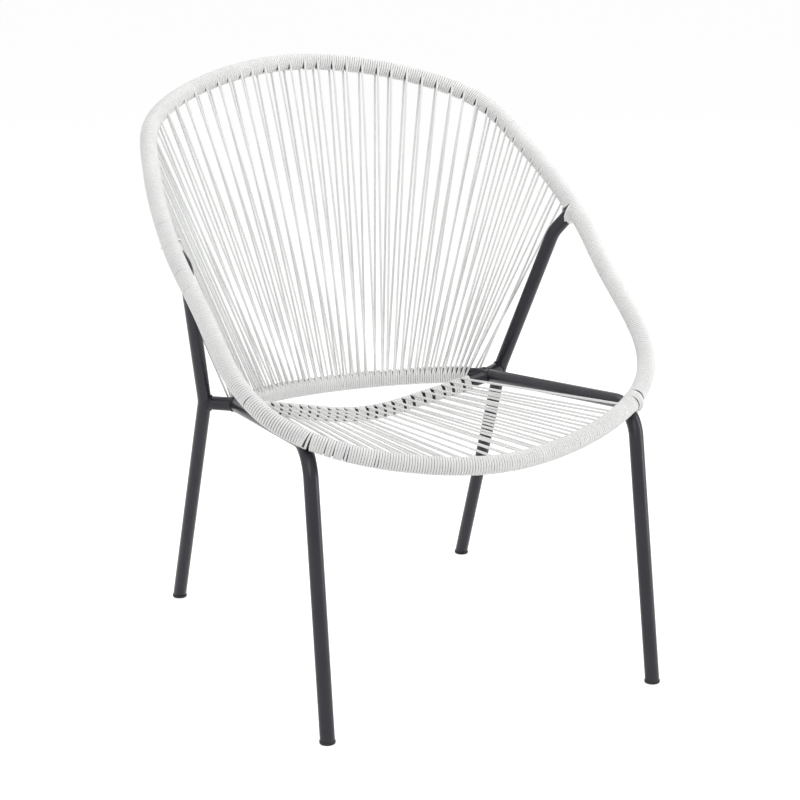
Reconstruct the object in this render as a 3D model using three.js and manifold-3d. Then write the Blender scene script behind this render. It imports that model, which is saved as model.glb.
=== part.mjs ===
// Wire lounge chair with a strung cord seat and back, in millimetres.
// +Z is up, the sitter faces -Y, and the origin lies on the floor under the middle of the chair.

import * as THREE from 'three';
import { mergeVertices } from 'three/addons/utils/BufferGeometryUtils.js';
import Module from 'manifold-3d';

const wasm = await Module();
wasm.setup();

// Tube, cord and clearance sizes

const FRAME_TUBE_DIAMETER = 21.5;
const RIM_TUBE_DIAMETER = 20;
const SEAT_RAIL_TUBE_DIAMETER = 18;
const CORD_DIAMETER = 3.6;
const CLEARANCE = 0.3;
const WELD_LEG = 3;
const PAD_WELD_LEG = 4;
const CUT_OVERRUN = 40;

// Rim hoop: reach of its centre line, and its half outline from the front middle to the top middle

const RIM_HALF_WIDTH = 335.7;
const RIM_FRONT_Y = -384;
const RIM_BACK_Y = 384;
const RIM_FRONT_HEIGHT = 377.4;
const RIM_BACK_HEIGHT = 864.5;
const RIM_OUTLINE_SHARES = [
  [0, 0, 0],
  [0.441, 0.037, 0.028],
  [0.790, 0.111, 0.103],
  [0.953, 0.215, 0.213],
  [0.984, 0.397, 0.400],
  [1, 0.543, 0.556],
  [0.946, 0.716, 0.728],
  [0.826, 0.851, 0.868],
  [0.468, 0.948, 0.963],
  [0, 1, 1],
];

// Seat frame: front legs, side rails and rear bow, bent from one tube that is welded under the rim

const FRONT_FOOT_X = 260.5;
const FRONT_FOOT_SETBACK = 17;
const FRONT_WELD_SHARE = 0.21;
const SEAT_CORNER_LEAD = 1;
const SEAT_CORNER_DROP = 7.4;
const BOW_CORNER_X = 215;
const BOW_CORNER_Y = 117.8;
const BOW_CORNER_DROP = 7.8;
const BOW_SHOULDER_X = 112.3;
const BOW_MIDDLE_Y = 204;
const SEAT_CORNER_BEND = 50;
const BOW_CORNER_BEND = 45;
const BOW_BEND = 308;

// Dished rail that carries the rear ends of the seat cords

const SEAT_RAIL_END_Y = 92;
const SEAT_RAIL_MIDDLE_Y = 108.5;
const SEAT_RAIL_DROP = 48.2;
const SEAT_RAIL_BEND = 283;

// Rear legs: foot, kink beside the seat, and a bent top that ends in the rim

const REAR_FOOT_X = 260.5;
const REAR_FOOT_Y = 297.3;
const REAR_KINK_X = 257;
const REAR_KINK_Y = 135;
const REAR_KINK_RISE = 4.9;
const REAR_TOP_INSET = 28.2;
const REAR_TOP_SETBACK = 18.1;
const REAR_TOP_DROP = 38.9;
const REAR_KINK_BEND = 80;
const REAR_TOP_BEND = 50;
const REAR_WELD_SPACING = 42;

// Stub between each rear leg and its side rail

const STUB_LEG_DROP = 2.5;
const STUB_RAIL_LEAD = 9.8;

// Foot caps: a lipped disc on the floor, and a shank that plugs the leg

const CAP_HEIGHT = 4.5;
const CAP_LIP = 0.8;
const CAP_EDGE_RADIUS = 1.6;
const CAP_SHANK_DIAMETER = 17;
const CAP_SHANK_LENGTH = 16;

// Cord web: how many cord stations each group has, and where they lie along the two tubes they join

const SEAT_GROUP_STATIONS = [3, 4, 4, 4, 4, 3];
const BACK_GROUP_STATIONS = [4, 4, 4, 4, 4, 4, 4, 4, 4, 4, 4];
const SEAT_RIM_REACH = 241;
const SEAT_RIM_MIDDLE_PITCH = 23;
const SEAT_RAIL_REACH = 179;
const SEAT_RAIL_MIDDLE_PITCH = 17;
const BACK_RIM_REACH = 565;
const BACK_RIM_MIDDLE_PITCH = 25.2;
const BACK_BOW_REACH = 228;
const BACK_BOW_MIDDLE_PITCH = 11.3;

// Facets

const TUBE_SIDES = 8;
const CORD_SIDES = 3;
const CAP_SIDES = 10;
const CAP_EDGE_STEPS = 2;
const BEND_SAG = 0.4;
const SEAT_STEPS_PER_GROUP = 2;
const BACK_STEPS_PER_GROUP = 3;
const ARM_STEPS = 12;

const FRAME_RADIUS = FRAME_TUBE_DIAMETER / 2;
const RIM_RADIUS = RIM_TUBE_DIAMETER / 2;
const SEAT_RAIL_RADIUS = SEAT_RAIL_TUBE_DIAMETER / 2;
const CORD_RADIUS = (CORD_DIAMETER - CLEARANCE) / 2;

const FORWARD = new THREE.Vector3(0, -1, 0);
const UPWARD = new THREE.Vector3(0, 0, 1);

const vector = (x, y, z) => new THREE.Vector3(x, y, z);
const mirrored = (point) => vector(-point.x, point.y, point.z);

// Routes

/** Centre line of straight runs joined by round bends, measured by the length along it. */
class BentRoute {
  constructor(corners, bends) {
    this.runs = [];
    this.length = 0;
    let from = corners[0];
    let direction = corners[1].clone().sub(from).normalize();
    let normal = vector(1, 0, 0).projectOnPlane(direction).normalize();
    bends.forEach((radius, i) => {
      const corner = corners[i + 1];
      const next = corners[i + 2].clone().sub(corner).normalize();
      const turn = direction.angleTo(next);
      const setback = radius * Math.tan(turn / 2);
      const bendStart = corner.clone().addScaledVector(direction, -setback);
      this.addStraight(from, direction, normal, bendStart.distanceTo(from));
      const axis = direction.clone().cross(next).normalize();
      this.addBend(bendStart, direction, normal, axis, turn, radius);
      normal = normal.clone().applyAxisAngle(axis, turn);
      from = corner.clone().addScaledVector(next, setback);
      direction = next;
    });
    this.addStraight(from, direction, normal, corners.at(-1).distanceTo(from));
  }

  addStraight(from, direction, normal, length) {
    this.runs.push({ start: this.length, length, steps: 1, from, direction, normal });
    this.length += length;
  }

  addBend(from, direction, normal, axis, turn, radius) {
    const centre = from.clone().addScaledVector(axis.clone().cross(direction), radius);
    const length = turn * radius;
    const steps = Math.ceil(turn / (2 * Math.acos(1 - BEND_SAG / radius)));
    this.runs.push({ start: this.length, length, steps, from, direction, normal, axis, centre, radius });
    this.length += length;
  }

  /** Point, heading and facing side at one length along the route. */
  at(s) {
    const run = this.runs.findLast((candidate) => candidate.start <= s) ?? this.runs[0];
    const along = s - run.start;
    if (!run.axis) {
      const point = run.from.clone().addScaledVector(run.direction, along);
      return { point, tangent: run.direction.clone(), normal: run.normal.clone() };
    }
    const angle = along / run.radius;
    const arm = run.from.clone().sub(run.centre).applyAxisAngle(run.axis, angle);
    return {
      point: run.centre.clone().add(arm),
      tangent: run.direction.clone().applyAxisAngle(run.axis, angle),
      normal: run.normal.clone().applyAxisAngle(run.axis, angle),
    };
  }

  /** Lengths at which sections lie: the ends of each run, and even steps round each bend. */
  get stations() {
    const marks = this.runs.flatMap((run) =>
      Array.from({ length: run.steps }, (_, i) => run.start + (run.length * i) / run.steps));
    return [...marks, this.length];
  }
}

/** Closed hoop through its outline points, measured from the front middle towards +X. */
class HoopRoute {
  constructor(points, facing) {
    this.curve = new THREE.CatmullRomCurve3(points, true, 'catmullrom', 0.5);
    this.curve.arcLengthDivisions = points.length * 60;
    this.length = this.curve.getLength();
    this.facing = facing;
  }

  at(s) {
    const share = THREE.MathUtils.euclideanModulo(s / this.length, 1);
    const tangent = this.curve.getTangentAt(share);
    const normal = this.facing.clone().projectOnPlane(tangent).normalize();
    return { point: this.curve.getPointAt(share), tangent, normal };
  }
}

/** Part of a route as a curve whose sections fall on chosen lengths. */
class StationCurve extends THREE.Curve {
  constructor(route, marks) {
    super();
    this.places = marks.map((s) => route.at(s));
  }

  getUtoTmapping(u) {
    return u;
  }

  getPoint(t) {
    return this.places[Math.round(t * (this.places.length - 1))].point;
  }

  computeFrenetFrames() {
    return {
      tangents: this.places.map((place) => place.tangent),
      normals: this.places.map((place) => place.normal),
      binormals: this.places.map((place) => place.tangent.clone().cross(place.normal)),
    };
  }
}

// Solids

function polygon(radius, sides) {
  return Array.from({ length: sides }, (_, i) => {
    const angle = (2 * Math.PI * i) / sides;
    return new THREE.Vector2(radius * Math.cos(angle), radius * Math.sin(angle));
  });
}

function toSolid(geometry) {
  const bare = geometry.clone();
  bare.deleteAttribute('normal');
  bare.deleteAttribute('uv');
  const merged = mergeVertices(bare);
  return new wasm.Manifold(new wasm.Mesh({
    numProp: 3,
    vertProperties: new Float32Array(merged.attributes.position.array),
    triVerts: new Uint32Array(merged.index.array),
  }));
}

function toGeometry(solid) {
  const mesh = solid.getMesh();
  const geometry = new THREE.BufferGeometry();
  geometry.setAttribute('position', new THREE.BufferAttribute(mesh.vertProperties, 3));
  geometry.setIndex(new THREE.BufferAttribute(mesh.triVerts, 1));
  geometry.computeVertexNormals();
  return geometry;
}

/** Round section swept along part of a route, hollow when a bore is given. */
function sweep(route, marks, radius, bore = 0) {
  const shape = new THREE.Shape(polygon(radius, TUBE_SIDES));
  if (bore > 0) {
    shape.holes.push(new THREE.Path(polygon(bore, TUBE_SIDES)));
  }
  const extrudePath = new StationCurve(route, marks);
  return toSolid(new THREE.ExtrudeGeometry(shape, { steps: marks.length - 1, extrudePath }));
}

/** Straight round bar between two points. */
function bar(from, to, radius, sides) {
  const span = to.clone().sub(from);
  const geometry = new THREE.CylinderGeometry(radius, radius, span.length(), sides);
  const turn = new THREE.Quaternion().setFromUnitVectors(vector(0, 1, 0), span.clone().normalize());
  geometry.applyQuaternion(turn);
  const middle = from.clone().add(to).divideScalar(2);
  geometry.translate(middle.x, middle.y, middle.z);
  return toSolid(geometry);
}

/** Tube along a route, with sections at set lengths. */
class Tube {
  constructor(route, marks, radius) {
    this.route = route;
    this.marks = [...marks].sort((a, b) => a - b);
    this.radius = radius;
  }

  /** Section places between two lengths, ends included and near doubles left out. */
  marksBetween(from, to) {
    const inner = this.marks.filter((s, i, all) =>
      s > from + CLEARANCE && s < to - CLEARANCE && !(s - all[i - 1] < CLEARANCE));
    return [from, ...inner, to];
  }

  solid(from = this.marks[0], to = this.marks.at(-1), growth = 0) {
    return sweep(this.route, this.marksBetween(from, to), this.radius + growth);
  }

  /** Stretch of the tube that reaches past both sides of one length, grown all round. */
  stretch(s, reach, growth) {
    const from = this.marks.findLast((mark) => mark <= s - reach) ?? this.marks[0] - growth;
    const to = this.marks.find((mark) => mark >= s + reach) ?? this.marks.at(-1) + growth;
    return this.solid(from, to, growth);
  }

  /** Layer of cord turns round the tube between two lengths, clear of the layers beyond them. */
  winding(from, to) {
    const marks = this.marksBetween(from + CLEARANCE / 2, to - CLEARANCE / 2);
    return sweep(this.route, marks, this.radius + CORD_DIAMETER, this.radius + CLEARANCE);
  }

  /** Length along the tube that lies nearest to a point, searched between two lengths. */
  nearest(point, from, to) {
    let low = from;
    let high = to;
    while (high - low > CLEARANCE / 100) {
      const third = (high - low) / 3;
      const lowGap = this.route.at(low + third).point.distanceTo(point);
      const highGap = this.route.at(high - third).point.distanceTo(point);
      if (lowGap < highGap) {
        high -= third;
      } else {
        low += third;
      }
    }
    return (low + high) / 2;
  }
}

/** Weld between two tubes at one length on each, with the tubes' own room taken out of it. */
class Weld {
  constructor(first, firstPlace, second, secondPlace, leg) {
    this.sides = [[first, firstPlace], [second, secondPlace]];
    this.reach = 2 * (first.radius + second.radius);
    this.leg = leg;
  }

  grown(growth) {
    const [first, second] = this.sides.map(([tube, place]) => tube.stretch(place, this.reach, growth));
    return first.intersect(second);
  }

  get bead() {
    return this.sides.reduce(
      (solid, [tube, place]) => solid.subtract(tube.stretch(place, 2 * this.reach, CLEARANCE)),
      this.grown(this.leg),
    );
  }

  /** The bead with a clearance round it. */
  get room() {
    return this.grown(this.leg + CLEARANCE);
  }
}

// Rim

const rimRise = RIM_BACK_HEIGHT - RIM_FRONT_HEIGHT;
const rimDepth = RIM_BACK_Y - RIM_FRONT_Y;
const rimRight = RIM_OUTLINE_SHARES.map(([widthShare, depthShare, riseShare]) => vector(
  RIM_HALF_WIDTH * widthShare,
  RIM_FRONT_Y + rimDepth * depthShare,
  RIM_FRONT_HEIGHT + rimRise * riseShare,
));
const rimLeft = rimRight.slice(1, -1).reverse().map(mirrored);
const rim = new HoopRoute([...rimRight, ...rimLeft], vector(0, -rimRise, rimDepth).normalize());
const rimTop = rim.length / 2;

/** Place of each station from the middle outwards, evenly pitched in the middle only. */
function spread(count, reach, middlePitch) {
  const evenShare = (middlePitch * (count - 1)) / (2 * reach);
  return (index) => {
    const share = (2 * index) / (count - 1) - 1;
    return reach * (evenShare * share + (1 - evenShare) * share ** 3);
  };
}

const total = (counts) => counts.reduce((sum, count) => sum + count, 0);
const seatStations = total(SEAT_GROUP_STATIONS);
const backStations = total(BACK_GROUP_STATIONS);
const seatRimPlace = spread(seatStations, SEAT_RIM_REACH, SEAT_RIM_MIDDLE_PITCH);
const seatRailPlace = spread(seatStations, SEAT_RAIL_REACH, SEAT_RAIL_MIDDLE_PITCH);
const backRimPlace = spread(backStations, BACK_RIM_REACH, BACK_RIM_MIDDLE_PITCH);
const backBowPlace = spread(backStations, BACK_BOW_REACH, BACK_BOW_MIDDLE_PITCH);

/** Edges of the groups along one tube, half a station outside their end stations. */
function groupEdges(place, counts) {
  return Array.from({ length: counts.length + 1 }, (_, i) => place(total(counts.slice(0, i)) - 0.5));
}

/** Even steps between neighbouring edges. */
function stepped(edges, steps) {
  return edges.slice(1).reduce((marks, edge, i) => {
    const inner = Array.from({ length: steps }, (_, j) =>
      THREE.MathUtils.lerp(edges[i], edge, (j + 1) / steps));
    return [...marks, ...inner];
  }, [edges[0]]);
}

const seatRimEdges = groupEdges(seatRimPlace, SEAT_GROUP_STATIONS);
const seatRailEdges = groupEdges(seatRailPlace, SEAT_GROUP_STATIONS);
const backRimEdges = groupEdges(backRimPlace, BACK_GROUP_STATIONS);
const backBowEdges = groupEdges(backBowPlace, BACK_GROUP_STATIONS);
const armStart = seatRimEdges.at(-1);
const armEnd = rimTop - backRimEdges.at(-1);
const armMarks = stepped([armStart, armEnd], ARM_STEPS);
const hoopMarks = [
  ...armMarks.map((s) => -s),
  ...stepped(seatRimEdges, SEAT_STEPS_PER_GROUP),
  ...armMarks,
  ...stepped(backRimEdges, BACK_STEPS_PER_GROUP).map((place) => rimTop + place),
];
const rimTube = new Tube(rim, [...hoopMarks, ...hoopMarks.map((s) => s + rim.length)], RIM_RADIUS);
const rimSolid = rimTube.solid(-armStart, armStart).add(rimTube.solid(armStart, rim.length - armStart));

// Seat frame

/** Moves a foot down its own leg, so that the leg can be cut off level above the floor. */
function sunk(foot, next) {
  const down = foot.clone().sub(next).normalize();
  return foot.clone().addScaledVector(down, CUT_OVERRUN);
}

const frontFoot = vector(FRONT_FOOT_X, RIM_FRONT_Y + FRONT_FOOT_SETBACK, 0);
const frontWeldPlace = rimTop * FRONT_WELD_SHARE;
const rimWeldPoint = rim.at(frontWeldPlace).point;
const seatCorner = rimWeldPoint.clone().add(vector(0, -SEAT_CORNER_LEAD, -SEAT_CORNER_DROP));
const bowCorner = vector(BOW_CORNER_X, BOW_CORNER_Y, RIM_FRONT_HEIGHT - BOW_CORNER_DROP);
const seatSlope = (bowCorner.z - seatCorner.z) / (bowCorner.y - seatCorner.y);
const bowHeight = bowCorner.z + seatSlope * (BOW_MIDDLE_Y - BOW_CORNER_Y);
const kinkHeight = bowCorner.z + REAR_KINK_RISE;
const rearWeldPlace = rimTop - BACK_RIM_REACH - REAR_WELD_SPACING;
const bowShoulder = vector(BOW_SHOULDER_X, BOW_MIDDLE_Y, bowHeight);
const rightFrame = [bowShoulder, bowCorner, seatCorner, sunk(frontFoot, seatCorner)];
const rightFrameBends = [BOW_BEND, BOW_CORNER_BEND, SEAT_CORNER_BEND];
const seatFrameRoute = new BentRoute(
  [...rightFrame.map(mirrored).reverse(), ...rightFrame],
  [...rightFrameBends.toReversed(), ...rightFrameBends],
);
const bowMiddle = seatFrameRoute.length / 2;
const bowMarks = backBowEdges.map((place) => bowMiddle + place);
const seatFrameTube = new Tube(seatFrameRoute, [...seatFrameRoute.stations, ...bowMarks], FRAME_RADIUS);

/** Point on the right side rail's centre line at one depth. */
function onSideRail(y) {
  return seatCorner.clone().lerp(bowCorner, (y - seatCorner.y) / (bowCorner.y - seatCorner.y));
}

// Seat rail

const railEnd = onSideRail(SEAT_RAIL_END_Y);
const railMiddle = vector(0, SEAT_RAIL_MIDDLE_Y, railEnd.z - SEAT_RAIL_DROP);
const seatRailRoute = new BentRoute([mirrored(railEnd), railMiddle, railEnd], [SEAT_RAIL_BEND]);
const seatRailMiddle = seatRailRoute.length / 2;
const seatRailMarks = seatRailEdges.map((place) => seatRailMiddle + place);
const seatRailTube = new Tube(
  seatRailRoute,
  [...seatRailRoute.stations, ...seatRailMarks],
  SEAT_RAIL_RADIUS,
);

// Foot caps

/** Foot of a leg: its axis, the level cut above its cap, and the cap itself about its own place. */
class Foot {
  constructor(foot, next) {
    this.axis = next.clone().sub(foot).normalize();
    this.foot = foot;
    this.place = this.onAxis(CAP_HEIGHT).setZ(0);
  }

  onAxis(height) {
    return this.foot.clone().addScaledVector(this.axis, height / this.axis.z);
  }

  /** Shank from inside the disc up the leg's axis, seen from an origin of choice. */
  shank(growth, origin) {
    const top = this.onAxis(CAP_HEIGHT).addScaledVector(this.axis, CAP_SHANK_LENGTH + growth);
    const bottom = this.onAxis(-CUT_OVERRUN);
    const radius = CAP_SHANK_DIAMETER / 2 + growth;
    const rod = bar(bottom.sub(origin), top.sub(origin), radius, CAP_SIDES);
    return rod.subtract(this.below(CAP_HEIGHT / 2, origin));
  }

  /** Room under one height, for level cuts. */
  below(height, origin) {
    const size = 3 * CUT_OVERRUN;
    const box = new THREE.BoxGeometry(size, size, size);
    box.translate(this.foot.x - origin.x, this.foot.y - origin.y, height - size / 2);
    return toSolid(box);
  }

  /** Leg cut off level above the cap and bored for its shank. */
  cut(leg) {
    const origin = vector(0, 0, 0);
    return leg.subtract(this.below(CAP_HEIGHT + CLEARANCE, origin)).subtract(this.shank(CLEARANCE, origin));
  }

  get cap() {
    const radius = FRAME_RADIUS + CAP_LIP;
    const edge = Array.from({ length: CAP_EDGE_STEPS + 1 }, (_, i) => {
      const angle = (Math.PI / 2) * (i / CAP_EDGE_STEPS);
      return new THREE.Vector2(
        radius - CAP_EDGE_RADIUS * (1 - Math.sin(angle)),
        CAP_EDGE_RADIUS * (1 - Math.cos(angle)),
      );
    });
    const profile = [
      new THREE.Vector2(0, 0),
      ...edge,
      new THREE.Vector2(radius, CAP_HEIGHT),
      new THREE.Vector2(0, CAP_HEIGHT),
    ];
    const disc = new THREE.LatheGeometry(profile, CAP_SIDES);
    disc.rotateX(Math.PI / 2);
    disc.scale(1 / this.axis.z, 1, 1);
    disc.rotateZ(Math.atan2(this.axis.y, this.axis.x));
    return toSolid(disc).add(this.shank(0, this.place));
  }
}

// Meshes

const frameFinish = { color: 0x2c2c2f, roughness: 0.45, metalness: 0.55 };
const cordFinish = { color: 0xf1f0ec, roughness: 0.5, metalness: 0 };
const capFinish = { color: 0x17171a, roughness: 0.6, metalness: 0 };

const chair = new THREE.Group();
const frame = new THREE.Group();
const feet = new THREE.Group();
const web = new THREE.Group();
chair.add(frame, feet, web);

function addMesh(parent, name, solid, finish) {
  const mesh = new THREE.Mesh(toGeometry(solid), new THREE.MeshStandardMaterial(finish));
  mesh.name = name;
  parent.add(mesh);
  return mesh;
}

const rimRooms = { seat: [], left: [], right: [] };
const cutBy = (solid, rooms) => rooms.reduce((rest, room) => rest.subtract(room), solid);
const placedOn = { left: mirrored, right: (point) => point.clone() };
let seatFrameSolid = seatFrameTube.solid();
let seatRailSolid = seatRailTube.solid();

for (const [side, placed] of Object.entries(placedOn)) {
  const right = side === 'right';
  const rimPlace = (s) => (right ? s : rim.length - s);
  const framePlace = (point, from, to) => seatFrameTube.nearest(
    placed(point),
    right ? bowMiddle + from : bowMiddle - to,
    right ? bowMiddle + to : bowMiddle - from,
  );

  // Front: the rim rests on the bend between front leg and side rail
  const bendPlace = framePlace(rimWeldPoint, backBowEdges.at(-1), bowMiddle);
  const frontWeld = new Weld(
    rimTube, rimPlace(frontWeldPlace), seatFrameTube, bendPlace, PAD_WELD_LEG,
  );
  const frontFootParts = new Foot(placed(frontFoot), placed(seatCorner));
  seatFrameSolid = frontFootParts.cut(seatFrameSolid);

  // Rear leg, ending in the rim
  const rearFoot = placed(vector(REAR_FOOT_X, REAR_FOOT_Y, 0));
  const kink = placed(vector(REAR_KINK_X, REAR_KINK_Y, kinkHeight));
  const rimEnd = rim.at(rimPlace(rearWeldPlace)).point;
  const toTopBend = placed(vector(-REAR_TOP_INSET, REAR_TOP_SETBACK, -REAR_TOP_DROP));
  const topBend = rimEnd.clone().add(toTopBend);
  const legRoute = new BentRoute(
    [sunk(rearFoot, kink), kink, topBend, rimEnd],
    [REAR_KINK_BEND, REAR_TOP_BEND],
  );
  const legTube = new Tube(legRoute, legRoute.stations, FRAME_RADIUS);
  const rearWeld = new Weld(rimTube, rimPlace(rearWeldPlace), legTube, legRoute.length, WELD_LEG);
  const rearFootParts = new Foot(rearFoot, kink);
  const rimInLeg = rimTube.stretch(rimPlace(rearWeldPlace), rearWeld.reach, CLEARANCE);
  const legSolid = rearFootParts.cut(legTube.solid()).subtract(rimInLeg);

  // Stub, coped to the leg and the side rail
  const stubLegPoint = placed(vector(REAR_KINK_X, REAR_KINK_Y, kinkHeight - STUB_LEG_DROP));
  const stubLegPlace = legTube.nearest(stubLegPoint, 0, legRoute.length);
  const stubRailEnd = onSideRail(BOW_CORNER_Y - STUB_RAIL_LEAD);
  const stubRailPlace = framePlace(stubRailEnd, backBowEdges.at(-1), bowMiddle);
  const [stubFrom, stubTo] = [legRoute.at(stubLegPlace).point, placed(stubRailEnd)];
  const stubInset = stubTo.clone().sub(stubFrom).setLength(FRAME_RADIUS / 2);
  const stubRoute = new BentRoute([stubFrom.add(stubInset), stubTo.sub(stubInset)], []);
  const stubTube = new Tube(stubRoute, stubRoute.stations, FRAME_RADIUS);
  const stubLegWeld = new Weld(legTube, stubLegPlace, stubTube, 0, WELD_LEG);
  const stubRailWeld = new Weld(seatFrameTube, stubRailPlace, stubTube, stubRoute.length, WELD_LEG);
  const stubSolid = cutBy(stubTube.solid(), [
    legTube.stretch(stubLegPlace, stubLegWeld.reach, CLEARANCE),
    seatFrameTube.stretch(stubRailPlace, stubRailWeld.reach, CLEARANCE),
  ]);

  // Seat rail end, coped to the side rail
  const railPlace = framePlace(railEnd, backBowEdges.at(-1), bowMiddle);
  const seatRailPlaceHere = right ? seatRailRoute.length : 0;
  const seatRailWeld = new Weld(seatFrameTube, railPlace, seatRailTube, seatRailPlaceHere, WELD_LEG);
  const sideRailHere = seatFrameTube.stretch(railPlace, seatRailWeld.reach, CLEARANCE);
  seatRailSolid = seatRailSolid.subtract(sideRailHere);

  const frontRooms = [
    frontWeld.room,
    seatFrameTube.stretch(bendPlace, frontWeld.reach, CLEARANCE),
  ];
  const rearRooms = [rearWeld.room, legTube.stretch(legRoute.length, rearWeld.reach, CLEARANCE)];
  rimRooms[side] = [...frontRooms, ...rearRooms];
  rimRooms.seat = [...rimRooms.seat, ...frontRooms, seatRailWeld.room];

  addMesh(frame, `rear_leg_${side}`, legSolid, frameFinish);
  addMesh(frame, `rear_stub_${side}`, stubSolid, frameFinish);
  addMesh(frame, `weld_rim_front_${side}`, frontWeld.bead, frameFinish);
  addMesh(frame, `weld_rim_rear_${side}`, rearWeld.bead, frameFinish);
  addMesh(frame, `weld_stub_leg_${side}`, stubLegWeld.bead, frameFinish);
  addMesh(frame, `weld_stub_rail_${side}`, stubRailWeld.bead, frameFinish);
  addMesh(frame, `weld_seat_rail_${side}`, seatRailWeld.bead, frameFinish);
  const footParts = { front: frontFootParts, rear: rearFootParts };
  for (const [end, parts] of Object.entries(footParts)) {
    const mesh = addMesh(feet, `foot_cap_${end}_${side}`, parts.cap, capFinish);
    mesh.position.copy(parts.place);
  }
}

addMesh(frame, 'rim_tube', rimSolid, frameFinish);
addMesh(frame, 'seat_frame', seatFrameSolid, frameFinish);
addMesh(frame, 'seat_rail', seatRailSolid, frameFinish);

// Cord web

/** One straight cord at a station, lying against both tubes on the chosen side of the web. */
function cord(upper, upperPlace, lower, lowerPlace, facing) {
  const ends = [upper.route.at(upperPlace), lower.route.at(lowerPlace)];
  const run = ends[1].point.clone().sub(ends[0].point);
  const [from, to] = [upper, lower].map((tube, i) => {
    const away = ends[i].tangent.clone().cross(run).normalize();
    away.multiplyScalar(Math.sign(away.dot(facing)));
    return ends[i].point.clone().addScaledVector(away, tube.radius + CLEARANCE + CORD_RADIUS);
  });
  return bar(from, to, CORD_RADIUS, CORD_SIDES);
}

/** Group of neighbouring stations: the turns on both tubes and the cords between them. */
function cordGroup(index, counts, rimSide, railSide, facing) {
  const firstStation = total(counts.slice(0, index));
  const stations = Array.from({ length: counts[index] }, (_, i) => firstStation + i);
  const cords = stations.flatMap((station) => [1, -1].map((layer) => cord(
    rimTube, rimSide.at(station), railSide.tube, railSide.at(station), facing.clone().multiplyScalar(layer),
  )));
  const rimEnds = [rimSide.edge(index), rimSide.edge(index + 1)].sort((a, b) => a - b);
  const windings = rimTube.winding(...rimEnds)
    .add(railSide.tube.winding(railSide.edge(index), railSide.edge(index + 1)));
  return cords.reduce((solid, strand) => solid.add(strand), windings);
}

const seatRimSide = { at: (i) => seatRimPlace(i), edge: (i) => seatRimEdges[i] };
const seatRailSide = {
  tube: seatRailTube,
  at: (i) => seatRailMiddle + seatRailPlace(i),
  edge: (i) => seatRailMarks[i],
};
const backRimSide = { at: (i) => rimTop - backRimPlace(i), edge: (i) => rimTop - backRimEdges[i] };
const backBowSide = {
  tube: seatFrameTube,
  at: (i) => bowMiddle + backBowPlace(i),
  edge: (i) => bowMarks[i],
};
const numbered = (name, index) => `${name}_${String(index + 1).padStart(2, '0')}`;

SEAT_GROUP_STATIONS.forEach((_, i, counts) => {
  const group = cordGroup(i, counts, seatRimSide, seatRailSide, UPWARD);
  addMesh(web, numbered('seat_cords', i), cutBy(group, rimRooms.seat), cordFinish);
});
BACK_GROUP_STATIONS.forEach((_, i, counts) => {
  const group = cordGroup(i, counts, backRimSide, backBowSide, FORWARD);
  addMesh(web, numbered('back_cords', i), group, cordFinish);
});
const arms = { right: [armStart, armEnd], left: [rim.length - armEnd, rim.length - armStart] };
for (const [side, ends] of Object.entries(arms)) {
  addMesh(web, `arm_winding_${side}`, cutBy(rimTube.winding(...ends), rimRooms[side]), cordFinish);
}

export default chair;
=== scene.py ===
"""Looks of a wire lounge chair with a strung cord seat and back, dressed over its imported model.

Everything is in metres in the part's own frame: +Z is up, the sitter faces -Y, and the origin lies
on the floor under the middle of the chair. Lengths along the rim start at its front middle and grow
towards +X. Lengths along the seat frame and the seat rail start at their left ends.
"""

import logging
import math
import random
from dataclasses import dataclass, field, replace
from enum import Enum
from typing import Callable, Optional, Sequence, Union

import bmesh
import bpy
import numpy as np
from bmesh.types import BMEdge, BMesh, BMVert
from bpy.types import Node, NodeSocket
from mathutils import Matrix, Quaternion, Vector


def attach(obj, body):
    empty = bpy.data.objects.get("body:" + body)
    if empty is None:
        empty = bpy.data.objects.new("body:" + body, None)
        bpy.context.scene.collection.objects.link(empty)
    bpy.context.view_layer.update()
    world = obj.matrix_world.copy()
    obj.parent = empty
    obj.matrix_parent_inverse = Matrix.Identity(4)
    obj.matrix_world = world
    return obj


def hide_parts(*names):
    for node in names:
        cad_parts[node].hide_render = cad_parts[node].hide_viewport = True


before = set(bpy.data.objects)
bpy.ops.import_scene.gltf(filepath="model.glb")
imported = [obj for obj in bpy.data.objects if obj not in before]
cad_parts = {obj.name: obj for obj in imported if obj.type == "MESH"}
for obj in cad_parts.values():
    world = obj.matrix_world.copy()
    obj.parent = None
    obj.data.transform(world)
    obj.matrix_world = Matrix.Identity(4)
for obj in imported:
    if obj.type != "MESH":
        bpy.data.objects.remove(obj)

LOG = logging.getLogger("lounge_chair")
CORD_RADIUS = 0.0018
FRAME_RADIUS = 0.01075
RIM_RADIUS = 0.010
SEAT_RAIL_RADIUS = 0.009
TUBE_SIDES = 28
TOLERANCE = 1e-6
FULL_TURN = 2 * math.pi

Triple = tuple[float, float, float]
Colour = tuple[float, float, float, float]
Feed = Union[NodeSocket, float, Colour]


class Side(Enum):
    """Side of the chair, by the sign of its X."""

    LEFT = -1
    RIGHT = 1

    def placed(self, point: Sequence[float]) -> Vector:
        """A point given for the right side, moved to this side."""
        return Vector((self.value * point[0], point[1], point[2]))

    @property
    def label(self) -> str:
        """Ending of the node names on this side."""
        return self.name.lower()


class Layer(Enum):
    """Face of the web that a strand lies on, as an angle round the tube that it leaves."""

    FRONT = 0.0
    BACK = math.pi


# Routes


@dataclass(frozen=True)
class Place:
    """Point on a route, and the heading there."""

    point: Vector
    heading: Vector


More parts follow.
